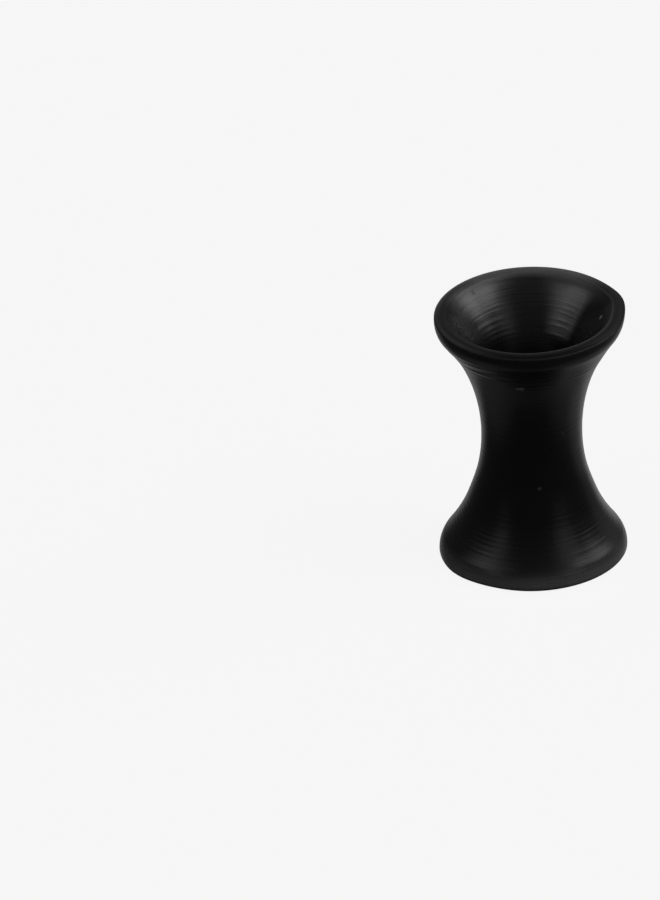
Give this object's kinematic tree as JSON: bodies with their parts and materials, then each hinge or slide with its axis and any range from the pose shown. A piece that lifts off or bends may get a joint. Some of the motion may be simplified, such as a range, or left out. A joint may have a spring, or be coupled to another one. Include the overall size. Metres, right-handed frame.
{
  "type": "silicone flesh tunnel",
  "caption": "Double-flared hollow ear tunnel in soft silicone: a saddle waist between two flared rims, with a funnel at each end of its through hole.",
  "frame": {"origin": "on the axis, in the plane of the flat band of the lower rim, on which the tunnel stands", "axes": "+Z along the axis of the tunnel, from the lower rim to the upper one; the shape is the same all round the axis"},
  "size_m": [0.0076, 0.0076, 0.0107],
  "materials": {
    "silicone": "satin black silicone with fine concentric mould rings"
  },
  "bodies": {
    "root": {"tunnel": "silicone"}
  },
  "joints": []
}
